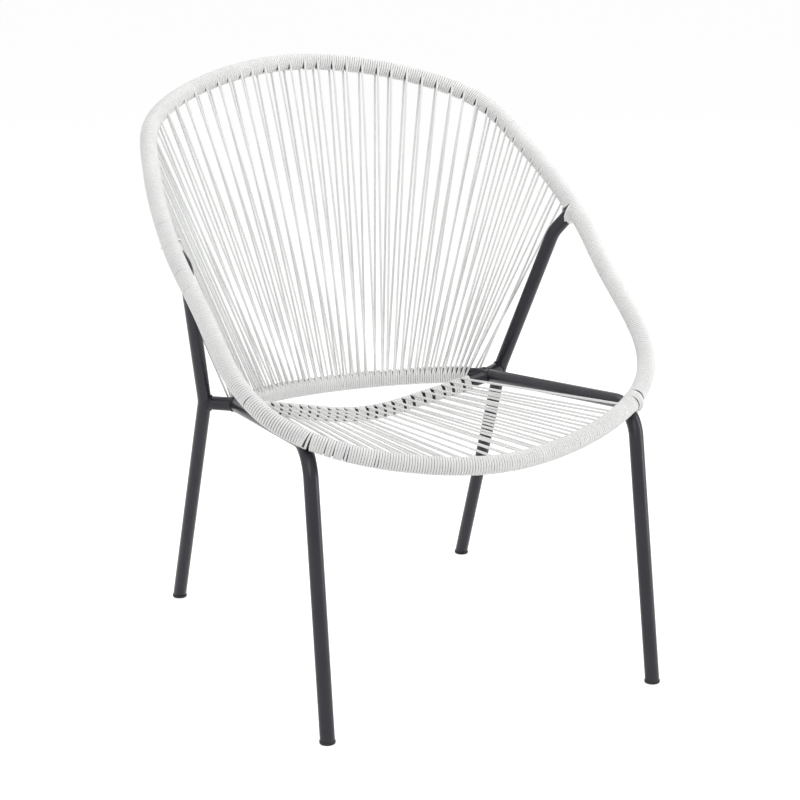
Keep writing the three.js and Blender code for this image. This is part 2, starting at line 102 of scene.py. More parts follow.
@dataclass(frozen=True)
class Run:
    """Straight stretch or round bend of a bent tube."""

    start: float
    length: float
    origin: Vector
    heading: Vector
    centre: Optional[Vector] = None
    axis: Optional[Vector] = None

    @property
    def turn(self) -> float:
        """Angle of the bend, or zero on a straight stretch."""
        return 0.0 if self.centre is None else self.length / (self.origin - self.centre).length

    def at(self, along: float) -> Place:
        """Find a place on this run.

        Args:
            along: length from the run's start.

        Returns:
            The point and the heading there.
        """
        if self.centre is None:
            return Place(self.origin + self.heading * along, self.heading.copy())
        arm = self.origin - self.centre
        turn = Quaternion(self.axis, along / arm.length)
        return Place(self.centre + turn @ arm, turn @ self.heading)


class BentRoute:
    """Centre line of straight stretches joined by round bends, measured by the length along it."""

    def __init__(self, corners: Sequence[Vector], bends: Sequence[float]) -> None:
        """Lay out the runs.

        Args:
            corners: the two ends, and the corners between them that the bends round off.
            bends: bend radius at each inner corner.
        """
        self.runs: list[Run] = []
        self.length = 0.0
        origin = corners[0]
        heading = (corners[1] - origin).normalized()
        for corner, beyond, radius in zip(corners[1:], corners[2:], bends):
            following = (beyond - corner).normalized()
            turn = heading.angle(following)
            setback = radius * math.tan(turn / 2)
            bend_start = corner - heading * setback
            self._add(Run(self.length, (bend_start - origin).length, origin, heading))
            axis = heading.cross(following).normalized()
            centre = bend_start + axis.cross(heading) * radius
            self._add(Run(self.length, turn * radius, bend_start, heading, centre, axis))
            origin = corner + following * setback
            heading = following
        self._add(Run(self.length, (corners[-1] - origin).length, origin, heading))

    def _add(self, run: Run) -> None:
        """Append a run and its length."""
        self.runs.append(run)
        self.length += run.length

    def at(self, s: float) -> Place:
        """Place at a length along the route."""
        run = next((run for run in reversed(self.runs) if run.start <= s), self.runs[0])
        return run.at(s - run.start)

    def nearest(self, point: Vector, low: float, high: float) -> float:
        """Find the length along the route that lies nearest to a point.

        Args:
            point: point to come close to.
            low: least length to look at.
            high: greatest length to look at.

        Returns:
            The length along the route.
        """
        while high - low > TOLERANCE:
            third = (high - low) / 3
            if (self.at(low + third).point - point).length < (self.at(high - third).point - point).length:
                high -= third
            else:
                low += third
        return (low + high) / 2


class HoopRoute:
    """Closed smooth hoop through its outline points, measured from the front middle towards +X."""

    SAMPLES_PER_SPAN = 80

    def __init__(self, outline: Sequence[Vector]) -> None:
        """Tabulate the hoop by its length.

        Args:
            outline: points that the centre line passes through, in order.
        """
        knots = np.array([tuple(point) for point in outline])
        before, after, beyond = (np.roll(knots, shift, axis=0) for shift in (1, -1, -2))
        share = np.linspace(0, 1, self.SAMPLES_PER_SPAN, endpoint=False)[None, :, None]
        first, last = knots[:, None], after[:, None]
        leave = (last - before[:, None]) / 2
        arrive = (beyond[:, None] - first) / 2
        square = (3 * (last - first) - 2 * leave - arrive) * share ** 2
        cube = (2 * (first - last) + leave + arrive) * share ** 3
        table = (first + leave * share + square + cube).reshape(-1, 3)
        self.points = np.vstack([table, table[:1]])
        steps = np.linalg.norm(np.diff(self.points, axis=0), axis=1)
        self.lengths = np.concatenate([[0.0], np.cumsum(steps)])
        self.length = float(self.lengths[-1])

    def at(self, s: float) -> Place:
        """Find a place on the hoop.

        Args:
            s: length along the hoop, which may run past its end.

        Returns:
            The point and the heading there.
        """
        reach = self.length / len(self.points)
        low, middle, high = (self._point(s + shift) for shift in (-reach, 0, reach))
        return Place(middle, (high - low).normalized())

    def _point(self, s: float) -> Vector:
        """Point at a length along the hoop."""
        return Vector([float(np.interp(s % self.length, self.lengths, axis)) for axis in self.points.T])


# Finishes


class NodeSheet:
    """Short way to fill a node tree."""

    def __init__(self, tree: bpy.types.NodeTree) -> None:
        """Take over a tree, emptied."""
        self.tree = tree
        tree.nodes.clear()

    def add(self, kind: str, feeds: Optional[dict[Union[str, int], Feed]] = None,
            **values: object) -> Node:
        """Add a node.

        Args:
            kind: the node's type.
            feeds: what goes into its inputs, by their names or numbers.
            values: its properties.

        Returns:
            The new node.
        """
        node = self.tree.nodes.new(kind)
        for name, value in values.items():
            setattr(node, name, value)
        for name, feed in (feeds or {}).items():
            self._feed(node.inputs[name], feed)
        return node

    def _feed(self, socket: NodeSocket, feed: Feed) -> None:
        """Fill one input.

        Args:
            socket: the input.
            feed: another node's output to link it to, or its value.
        """
        if isinstance(feed, NodeSocket):
            self.tree.links.new(feed, socket)
        else:
            socket.default_value = feed

    def noise(self, place: NodeSocket, scale: Feed, detail: float) -> NodeSocket:
        """Noise over a place, as its grey value."""
        feeds = {"Vector": place, "Scale": scale, "Detail": detail}
        return self.add("ShaderNodeTexNoise", feeds).outputs["Fac"]

    def ranged(self, value: Feed, given: tuple[float, float], wanted: tuple[float, float]) -> NodeSocket:
        """Move a value from one range to another, and hold it at the ends.

        Args:
            value: the value.
            given: range that it comes in.
            wanted: range that it leaves in.

        Returns:
            The moved value.
        """
        feeds = {"Value": value, "From Min": given[0], "From Max": given[1],
                 "To Min": wanted[0], "To Max": wanted[1]}
        return self.add("ShaderNodeMapRange", feeds).outputs["Result"]

    def worked(self, operation: str, *operands: Feed, clamp: bool = False) -> NodeSocket:
        """Work out a sum.

        Args:
            operation: the Math node's operation.
            operands: the numbers that it works on, in order.
            clamp: whether the result is held between zero and one.

        Returns:
            The result.
        """
        node = self.add("ShaderNodeMath", dict(enumerate(operands)), operation=operation, use_clamp=clamp)
        return node.outputs[0]

    def blended(self, share: NodeSocket, low: Feed, high: Feed) -> NodeSocket:
        """Mix two colours.

        Args:
            share: how far the result lies from the first colour towards the second.
            low: the first colour.
            high: the second colour.

        Returns:
            The mixed colour.
        """
        node = self.add("ShaderNodeMix", {"Factor": share}, data_type="RGBA")
        colours = [socket for socket in node.inputs if socket.type == "RGBA"]
        for socket, colour in zip(colours, (low, high)):
            self._feed(socket, colour)
        return next(socket for socket in node.outputs if socket.type == "RGBA")


def linear(red: int, green: int, blue: int) -> Colour:
    """Turn a screen colour into linear light.

    Args:
        red: red, from 0 to 255.
        green: green, from 0 to 255.
        blue: blue, from 0 to 255.

    Returns:
        The colour, with full alpha.
    """
    shares = [value / 255 for value in (red, green, blue)]
    light = [v / 12.92 if v <= 0.04045 else ((v + 0.055) / 1.055) ** 2.4 for v in shares]
    return (light[0], light[1], light[2], 1.0)


def grain_group() -> bpy.types.ShaderNodeTree:
    """Shared effect: patches of tint, a fine coat texture and a roughness that goes with them.

    Returns:
        The node group, with inputs Base, Tint, Patch Scale, Grain Scale, Roughness and Spread,
        and outputs Colour, Roughness and Height.
    """
    name = "coat_grain"
    if name in bpy.data.node_groups:
        return bpy.data.node_groups[name]
    group = bpy.data.node_groups.new(name, "ShaderNodeTree")
    for direction, sockets in (
        ("INPUT", {"Base": "Color", "Tint": "Color", "Patch Scale": "Float", "Grain Scale": "Float",
                   "Roughness": "Float", "Spread": "Float"}),
        ("OUTPUT", {"Colour": "Color", "Roughness": "Float", "Height": "Float"}),
    ):
        for label, kind in sockets.items():
            group.interface.new_socket(name=label, in_out=direction, socket_type=f"NodeSocket{kind}")
    sheet = NodeSheet(group)
    given = sheet.add("NodeGroupInput").outputs
    place = sheet.add("ShaderNodeTexCoord").outputs["Object"]
    patches = sheet.noise(place, given["Patch Scale"], detail=4.0)
    grain = sheet.noise(place, given["Grain Scale"], detail=2.0)
    noise_span = (0.3, 0.7)
    speckle_share = 0.35
    patched = sheet.ranged(patches, (0.35, 0.65), (0.0, 1.0))
    speckle = sheet.ranged(grain, noise_span, (-0.5, 0.5))
    tinted = sheet.worked("MULTIPLY_ADD", speckle, speckle_share, patched, clamp=True)
    change = sheet.ranged(patches, noise_span, (-1.0, 1.0))
    sheet.add("NodeGroupOutput", {
        "Colour": sheet.blended(tinted, given["Base"], given["Tint"]),
        "Roughness": sheet.worked("MULTIPLY_ADD", change, given["Spread"], given["Roughness"]),
        "Height": grain,
    })
    return group


@dataclass(frozen=True)
class Finish:
    """Coated or moulded surface with a fine grain."""

    name: str
    base: Colour
    tint: Colour
    roughness: float
    spread: float
    patch_scale: float
    grain_scale: float
    bump: float
    bump_depth: float
    specular: float

    def material(self) -> bpy.types.Material:
        """Make the finish as a procedural material, once.

        Returns:
            The material.
        """
        if self.name in bpy.data.materials:
            return bpy.data.materials[self.name]
        material = bpy.data.materials.new(self.name)
        material.use_nodes = True
        sheet = NodeSheet(material.node_tree)
        grain = sheet.add("ShaderNodeGroup", {
            "Base": self.base, "Tint": self.tint, "Patch Scale": self.patch_scale,
            "Grain Scale": self.grain_scale, "Roughness": self.roughness, "Spread": self.spread,
        }, node_tree=grain_group()).outputs
        bump = sheet.add("ShaderNodeBump", {
            "Strength": self.bump, "Distance": self.bump_depth, "Height": grain["Height"],
        })
        surface = sheet.add("ShaderNodeBsdfPrincipled", {
            "Base Color": grain["Colour"], "Roughness": grain["Roughness"],
            "Normal": bump.outputs["Normal"], "Specular IOR Level": self.specular,
        })
        sheet.add("ShaderNodeOutputMaterial", {"Surface": surface.outputs["BSDF"]})
        return material


POWDER_COAT = Finish(
    "charcoal_powder_coat", linear(34, 33, 41), linear(40, 39, 48), roughness=0.3, spread=0.03,
    patch_scale=11.0, grain_scale=1400.0, bump=0.1, bump_depth=0.00012, specular=0.36,
)
BEAD_COAT = Finish(
    "charcoal_weld_coat", linear(32, 32, 36), linear(39, 39, 43), roughness=0.4, spread=0.05,
    patch_scale=90.0, grain_scale=520.0, bump=0.35, bump_depth=0.0003, specular=0.32,
)
CORD_VINYL = Finish(
    "white_vinyl_cord", linear(236, 236, 234), linear(229, 230, 229), roughness=0.4, spread=0.05,
    patch_scale=26.0, grain_scale=700.0, bump=0.08, bump_depth=0.0001, specular=0.45,
)
CAP_PLASTIC = Finish(
    "black_cap_plastic", linear(26, 26, 28), linear(33, 33, 35), roughness=0.55, spread=0.06,
    patch_scale=60.0, grain_scale=1100.0, bump=0.2, bump_depth=0.00015, specular=0.4,
)


class Slot(Enum):
    """Material slot, and the finish that dresses it."""

    FRAME = ("frame_steel", POWDER_COAT)
    WELD = ("weld_steel", BEAD_COAT)
    CAP = ("cap_plastic", CAP_PLASTIC)
    CORD = ("cord_plastic", CORD_VINYL)

    def __init__(self, label: str, finish: Finish) -> None:
        """Keep the slot's name and its finish."""
        self.label = label
        self.finish = finish


# Pieces


def linked(name: str, data: bpy.types.ID) -> bpy.types.Object:
    """Put a new object in the scene.

    Args:
        name: the object's name.
        data: what it shows.

    Returns:
        The object.
    """
    made = bpy.data.objects.new(name, data)
    bpy.context.scene.collection.objects.link(made)
    return made


def evaluated(drawn: bpy.types.Object) -> bpy.types.Mesh:
    """Turn an object with a curve or modifiers into a mesh.

    Args:
        drawn: the object, which is removed.

    Returns:
        The mesh.
    """
    mesh = bpy.data.meshes.new_from_object(drawn.evaluated_get(bpy.context.evaluated_depsgraph_get()))
    bpy.data.objects.remove(drawn)
    return mesh


def finish_piece(name: str, mesh: bpy.types.Mesh, slot: Slot, stands_for: Sequence[str],
                 crease: float = math.radians(40)) -> None:
    """Put a mesh in the scene as a piece of the chair.

    Args:
        name: the piece's name.
        mesh: its mesh, already in place.
        slot: the material slot that it is finished from.
        stands_for: the model's nodes that it is shown in place of.
        crease: angle past which an edge stays sharp.
    """
    mesh.name = name
    mesh.polygons.foreach_set("use_smooth", [True] * len(mesh.polygons))
    mesh.set_sharp_from_angle(angle=crease)
    mesh.materials.clear()
    mesh.materials.append(slot.finish.material())
    piece = linked(name, mesh)
    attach(piece, "root")
    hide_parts(*stands_for)
    mesh.calc_loop_triangles()
    LOG.info("%s: %d triangles", name, len(mesh.loop_triangles))


def settled(bm: BMesh) -> bpy.types.Mesh:
    """Merge a shape's doubles, turn its faces outwards and hand it over as a mesh.

    Args:
        bm: the shape, which is freed.

    Returns:
        The mesh.
    """
    bmesh.ops.remove_doubles(bm, verts=bm.verts, dist=TOLERANCE)
    bmesh.ops.recalc_face_normals(bm, faces=bm.faces)
    mesh = bpy.data.meshes.new("shape")
    bm.to_mesh(mesh)
    bm.free()
    return mesh


def only(kind: type, made: Sequence[object]) -> list:
    """Entries of one kind in an operator's result."""
    return [entry for entry in made if isinstance(entry, kind)]


def facing_matrix(place: Place, up: Vector) -> Matrix:
    """Stand a frame on a place, with its Z along the heading.

    Args:
        place: where the frame stands.
        up: direction that its Y stays close to.

    Returns:
        The frame as a matrix.
    """
    z = place.heading
    y = (up - z * up.dot(z)).normalized()
    rotation = Matrix((y.cross(z), y, z)).transposed()
    return Matrix.Translation(place.point) @ rotation.to_4x4()


@dataclass
class BentTube:
    """Round tube drawn along a bent route."""

    route: BentRoute
    radius: float
    ring_up: Triple = (1, 0.02, 0.01)
    bend_step: float = math.radians(5)

    def build(self, name: str, node: str, cut: Optional[float] = None) -> None:
        """Draw the tube, closed at both ends.

        Args:
            name: the piece's name.
            node: the model's node that it is shown in place of.
            cut: height under which the tube is cut off, if it is.
        """
        bm = bmesh.new()
        start = facing_matrix(self.route.at(0.0), Vector(self.ring_up))
        bmesh.ops.create_circle(bm, cap_ends=False, radius=self.radius, segments=TUBE_SIDES, matrix=start)
        edges = list(bm.edges)
        for run in self.route.runs:
            if run.length < TOLERANCE:
                continue
            if run.centre is None:
                made = bmesh.ops.extrude_edge_only(bm, edges=edges)["geom"]
                bmesh.ops.translate(bm, verts=only(BMVert, made), vec=run.heading * run.length)
            else:
                made = bmesh.ops.spin(
                    bm, geom=edges, cent=run.centre, axis=run.axis, dvec=(0, 0, 0), angle=run.turn,
                    steps=math.ceil(run.turn / self.bend_step), use_merge=False, use_duplicate=False,
                )["geom_last"]
            edges = only(BMEdge, made)
        bmesh.ops.holes_fill(bm, edges=bm.edges, sides=TUBE_SIDES)
        if cut is not None:
            everything = [*bm.verts, *bm.edges, *bm.faces]
            bmesh.ops.bisect_plane(
                bm, geom=everything, dist=TOLERANCE / 10, plane_co=(0, 0, cut), plane_no=(0, 0, 1),
                clear_inner=True,
            )
            bmesh.ops.holes_fill(bm, edges=bm.edges, sides=TUBE_SIDES)
        finish_piece(name, settled(bm), Slot.FRAME, [node])


@dataclass
class Rim:
    """Hoop that carries the outer ends of all cords.

    The outline gives the right half as shares of the half width, the depth and the rise.
    """

    half_width: float = 0.3357
    front_y: float = -0.384
    back_y: float = 0.384
    front_height: float = 0.3774
    back_height: float = 0.8645
    outline: Sequence[Triple] = (
        (0, 0, 0), (0.441, 0.037, 0.028), (0.790, 0.111, 0.103), (0.953, 0.215, 0.213),
        (0.984, 0.397, 0.400), (1, 0.543, 0.556), (0.946, 0.716, 0.728),
        (0.826, 0.851, 0.868), (0.468, 0.948, 0.963), (0, 1, 1),
    )
    rings: int = 240

    def __post_init__(self) -> None:
        """Lay out the hoop."""
        size = Vector((self.half_width, self.back_y - self.front_y, self.back_height - self.front_height))
        origin = Vector((0, self.front_y, self.front_height))
        right = [origin + Vector([a * b for a, b in zip(size, share)]) for share in self.outline]
        left = [Side.LEFT.placed(point) for point in reversed(right[1:-1])]
        self.route = HoopRoute([*right, *left])
        self.top = self.route.length / 2
        self.facing = Vector((0, -size.z, size.y)).normalized()

    def place(self, side: Side, reach: float) -> float:
        """Length along the hoop of a place this far from the front middle, on one side."""
        return reach if side is Side.RIGHT else self.route.length - reach

    def build(self) -> None:
        """Draw the rim tube ring by ring round the hoop."""
        bm = bmesh.new()
        frames = [facing_matrix(self.route.at(self.route.length * i / self.rings), self.facing)
                  for i in range(self.rings + 1)]
        bmesh.ops.create_circle(bm, cap_ends=False, radius=RIM_RADIUS, segments=TUBE_SIDES, matrix=frames[0])
        edges = list(bm.edges)
        for here, following in zip(frames, frames[1:]):
            made = bmesh.ops.extrude_edge_only(bm, edges=edges)["geom"]
            bmesh.ops.transform(bm, matrix=following @ here.inverted(), verts=only(BMVert, made))
            edges = only(BMEdge, made)
        finish_piece("rim_hoop_tube", settled(bm), Slot.FRAME, ["rim_tube"])


@dataclass
class FootCap:
    """Lipped plastic disc under a leg, cut level while the leg leans."""

    height: float = 0.0045
    lip: float = 0.0008
    lower_edge_radius: float = 0.0016
    lower_edge_steps: int = 4
    upper_edge_radius: float = 0.00032
    upper_edge_steps: int = 2
    sides: int = 36

    def build(self, foot: Vector, toward: Vector, label: str) -> None:
        """Draw the cap under one leg.

        Args:
            foot: where the leg's axis meets the floor.
            toward: a point further up the leg's axis.
            label: the leg's name ending.
        """
        axis = (toward - foot).normalized()
        radius = FRAME_RADIUS + self.lip
        bm = bmesh.new()
        bmesh.ops.create_cone(
            bm, cap_ends=True, cap_tris=False, segments=self.sides, radius1=radius, radius2=radius,
            depth=self.height, matrix=Matrix.Translation((0, 0, self.height / 2)),
        )
        for level, edge_radius, steps in (
            (0.0, self.lower_edge_radius, self.lower_edge_steps),
            (self.height, self.upper_edge_radius, self.upper_edge_steps),
        ):
            ring = [edge for edge in bm.edges
                    if all(abs(vert.co.z - level) < TOLERANCE for vert in edge.verts)]
            bmesh.ops.bevel(
                bm, geom=ring, offset=edge_radius, offset_type="OFFSET", segments=steps, profile=0.5,
                affect="EDGES", material=-1,
            )
        lean = Matrix.Rotation(math.atan2(axis.y, axis.x), 4, "Z")
        stretch = Matrix.Diagonal((1 / axis.z, 1, 1, 1))
        centre = foot + axis * (self.height / axis.z)
        shift = Matrix.Translation((centre.x, centre.y, 0))
        bmesh.ops.transform(bm, verts=bm.verts, matrix=shift @ lean @ stretch)
        finish_piece(f"foot_plug_{label}", settled(bm), Slot.CAP, [f"foot_cap_{label}"])


@dataclass
class WeldBead:
    """Fillet of weld metal, softened from the model's own bead."""

    voxel: float = 0.0007
    softening: float = 0.6
    rounds: int = 6
    crease: float = math.radians(80)

    def build(self, node: str) -> None:
        """Draw one bead as a rounded copy of the model's bead.

        Args:
            node: the bead's node in the model.
        """
        bm = bmesh.new()
        bm.from_mesh(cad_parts[node].data)
        bmesh.ops.remove_doubles(bm, verts=bm.verts, dist=TOLERANCE)
        raw = bpy.data.meshes.new("bead_blank")
        bm.to_mesh(raw)
        bm.free()
        blank = linked("bead_blank", raw)
        remesh = blank.modifiers.new("voxels", "REMESH")
        remesh.mode = "VOXEL"
        remesh.voxel_size = self.voxel
        smooth = blank.modifiers.new("soften", "SMOOTH")
        smooth.factor = self.softening
        smooth.iterations = self.rounds
        finish_piece(node.replace("weld", "weld_fillet"), evaluated(blank), Slot.WELD, [node], self.crease)


@dataclass
class TubeFrame:
    """Bent and welded steel tubes under the rim. Places are those of the right side."""

    rim: Rim
    front_foot: Triple = (0.2605, -0.367, 0)
    front_weld_share: float = 0.21
    corner_offset: Triple = (0, -0.001, -0.0074)
    bow_corner: Triple = (0.215, 0.1178, 0.3696)
    bow_shoulder_x: float = 0.1123
    bow_middle_y: float = 0.204
    bends: Sequence[float] = (0.308, 0.045, 0.05)
    rail_end_y: float = 0.092
    rail_middle_y: float = 0.1085
    rail_drop: float = 0.0482
    rail_bend: float = 0.283
    rear_foot: Triple = (0.2605, 0.2973, 0)
    rear_kink: Triple = (0.257, 0.135, 0.3745)
    rear_top_offset: Triple = (-0.0282, 0.0181, -0.0389)
    rear_bends: Sequence[float] = (0.08, 0.05)
    rear_weld_from_top: float = 0.607
    stub_leg_drop: float = 0.0025
    stub_rail_y: float = 0.108
    foot_excess: float = 0.04
    cap: FootCap = field(default_factory=FootCap)
    bead: WeldBead = field(default_factory=WeldBead)

    def __post_init__(self) -> None:
        """Lay out the seat frame and the seat rail."""
        self.front_weld = self.rim.top * self.front_weld_share
        self.rear_weld = self.rim.top - self.rear_weld_from_top
        self.corner = self.rim.route.at(self.front_weld).point + Vector(self.corner_offset)
        bow = Vector(self.bow_corner)
        slope = (bow.z - self.corner.z) / (bow.y - self.corner.y)
        shoulder_z = bow.z + slope * (self.bow_middle_y - bow.y)
        shoulder = Vector((self.bow_shoulder_x, self.bow_middle_y, shoulder_z))
        right = [shoulder, bow, self.corner, self._lengthened(Vector(self.front_foot), self.corner)]
        left = [Side.LEFT.placed(point) for point in reversed(right)]
        self.seat_route = BentRoute([*left, *right], [*reversed(self.bends), *self.bends])
        self.bow_middle = self.seat_route.length / 2
        end = self._on_side_rail(self.rail_end_y)
        middle = Vector((0, self.rail_middle_y, end.z - self.rail_drop))
        self.rail_route = BentRoute([Side.LEFT.placed(end), middle, end], [self.rail_bend])

    def _lengthened(self, foot: Vector, toward: Vector) -> Vector:
        """A foot moved down its leg, so that the leg can be cut off level."""
        return foot + (foot - toward).normalized() * self.foot_excess

    def _on_side_rail(self, y: float) -> Vector:
        """Point on the right side rail's centre line."""
        share = (y - self.corner.y) / (self.bow_corner[1] - self.corner.y)
        return self.corner.lerp(Vector(self.bow_corner), share)

    def _rear_leg_route(self, side: Side) -> BentRoute:
        """Lay out a rear leg, from under its foot to its end inside the rim.

        Args:
            side: the leg's side.

        Returns:
            Its centre line.
        """
        foot, kink = side.placed(self.rear_foot), side.placed(self.rear_kink)
        end = self.rim.route.at(self.rim.place(side, self.rear_weld)).point
        top = end + side.placed(self.rear_top_offset)
        return BentRoute([self._lengthened(foot, kink), kink, top, end], self.rear_bends)

    def build(self) -> None:
        """Draw the tubes, caps and beads."""
        cut = self.cap.height
        BentTube(self.seat_route, FRAME_RADIUS).build("seat_frame_tube", "seat_frame", cut)
        BentTube(self.rail_route, SEAT_RAIL_RADIUS).build("seat_rail_tube", "seat_rail")
        for side in Side:
            leg = self._rear_leg_route(side)
            BentTube(leg, FRAME_RADIUS).build(f"rear_leg_tube_{side.label}", f"rear_leg_{side.label}", cut)
            self._build_stub(side, leg)
            self.cap.build(side.placed(self.front_foot), side.placed(self.corner), f"front_{side.label}")
            self.cap.build(side.placed(self.rear_foot), side.placed(self.rear_kink), f"rear_{side.label}")
            for joint in ("rim_front", "rim_rear", "stub_leg", "stub_rail", "seat_rail"):
                self.bead.build(f"weld_{joint}_{side.label}")

    def _build_stub(self, side: Side, leg: BentRoute) -> None:
        """Draw the short tube between a rear leg and its side rail.

        Args:
            side: the side that it is on.
            leg: the rear leg's centre line.
        """
        beside = side.placed(self.rear_kink) - Vector((0, 0, self.stub_leg_drop))
        leg_end = leg.at(leg.nearest(beside, 0, leg.length)).point
        rail_end = side.placed(self._on_side_rail(self.stub_rail_y))
        stub = BentTube(BentRoute([leg_end, rail_end], []), FRAME_RADIUS)
        stub.build(f"rear_stub_tube_{side.label}", f"rear_stub_{side.label}")


# Cord


@dataclass(frozen=True)
class Spread:
    """Stations on both sides of a tube's middle, at a pitch that changes smoothly towards the ends."""

    count: int
    reach: float
    middle_pitch: float

    def places(self, middle: float = 0.0) -> list[float]:
        """Set out the stations.

        Args:
            middle: length along the tube of its middle.

        Returns:
            The length along the tube of each station.
        """
        even = self.middle_pitch * (self.count - 1) / (2 * self.reach)
        shares = [2 * i / (self.count - 1) - 1 for i in range(self.count)]
        return [middle + self.reach * (even * share + (1 - even) * share ** 3) for share in shares]


@dataclass(frozen=True)
class WoundTube:
    """Tube with cord turns on it, and the direction at each place towards the other end of the web."""

    name: str
    route: Union[BentRoute, HoopRoute]
    radius: float
    toward: Callable[[float], Vector]
    face: Optional[Vector] = None

    def axes(self, s: float) -> tuple[Vector, Vector, Vector, Vector]:
        """Work out the directions at one length.

        Args:
            s: length along the tube.

        Returns:
            The tube's centre, and its heading, front and inward direction at right angles.
        """
        place = self.route.at(s)
        inward = self.toward(s)
        inward = (inward - place.heading * inward.dot(place.heading)).normalized()
        front = place.heading.cross(inward)
        if self.face is not None and front.dot(self.face) < 0:
            front.negate()
        return place.point, place.heading, front, inward

    def point(self, s: float, angle: float, lift: float = 0.0) -> Vector:
        """Find a point of the cord's centre line on the tube.

        Args:
            s: length along the tube.
            angle: angle from the front over the outer side.
            lift: extra distance from the tube.

        Returns:
            The point.
        """
        centre, _, front, inward = self.axes(s)
        reach = self.radius + CORD_RADIUS + lift
        return centre + (front * math.cos(angle) - inward * math.sin(angle)) * reach


@dataclass(frozen=True)
class Parting:
    """How turns part for a leg.

    Attributes:
        width: half the width that they leave free beside the leg.
        onset: cosine of the angle from the leg at which they start to part.
        ramp: rise of that cosine over which they part fully.
        lift: rise off the rim for each length that a turn is pushed.
        split: place beyond the leg's axis where they part.
    """

    width: float
    onset: float
    ramp: float
    lift: float
    split: float = 0.0


@dataclass(frozen=True)
class LegCrossing:
    """Place where a leg meets the rim, and how the cord's turns part there."""

    s: float
    toward_leg: Vector
    parting: Parting
    reach: float = 0.03

    def cleared(self, tube: WoundTube, s: float, angle: float, rate: float) -> tuple[float, float]:
        """Move one point of a turn clear of the leg.

        Args:
            tube: the rim.
            s: length along the rim.
            angle: angle round the rim.
            rate: angle turned for each length along the rim.

        Returns:
            The new length along the rim, and the lift away from it.
        """
        if abs(s - self.s) > self.reach:
            return s, 0.0
        _, heading, front, inward = tube.axes(s)
        toward = (self.toward_leg - heading * self.toward_leg.dot(heading)).normalized()
        leg_angle = math.atan2(-toward.dot(inward), toward.dot(front))
        offset = (leg_angle - angle + math.pi) % FULL_TURN - math.pi
        nearness = math.cos(offset) - self.parting.onset
        if nearness <= 0:
            return s, 0.0
        aside = (RIM_RADIUS + CORD_RADIUS) * math.sin(offset)
        half = math.sqrt(max(0.0, self.parting.width ** 2 - aside ** 2))
        half *= min(1.0, nearness / self.parting.ramp)
        direction = 1.0 if s + offset / rate > self.s + self.parting.split else -1.0
        push = half - direction * (s - self.s)
        if push <= 0:
            return s, 0.0
        return self.s + direction * half, self.parting.lift * push


@dataclass(frozen=True)
class LooseTurn:
    """Place where two neighbouring turns stand apart, most of all at one angle round the tube."""

    s: float
    opening: float
    reach: float = 0.007
    bulge: float = 0.0
    widest: float = math.pi

    def moved(self, along: float) -> "LooseTurn":
        """The same loose turn, further along the tube."""
        return replace(self, s=along + self.s)

    def _share(self, angle: float) -> float:
        """Share of the opening at one angle round the tube."""
        return (1 + math.cos(angle - self.widest)) / 2

    def raised(self, s: float, angle: float) -> float:
        """How far the cord stands off the tube at a length and an angle."""
        return self.bulge * self._share(angle) * math.exp(-((s - self.s) / self.reach) ** 2)

    def shift(self, s: float, angle: float) -> float:
        """Part the cord on both sides of this place.

        Args:
            s: length along the tube.
            angle: angle from the front over the outer side.

        Returns:
            How far the cord moves along the tube there.
        """
        apart = s - self.s
        size = self.opening / 2 * self._share(angle) * math.exp(-abs(apart) / self.reach)
        return math.copysign(size, apart)


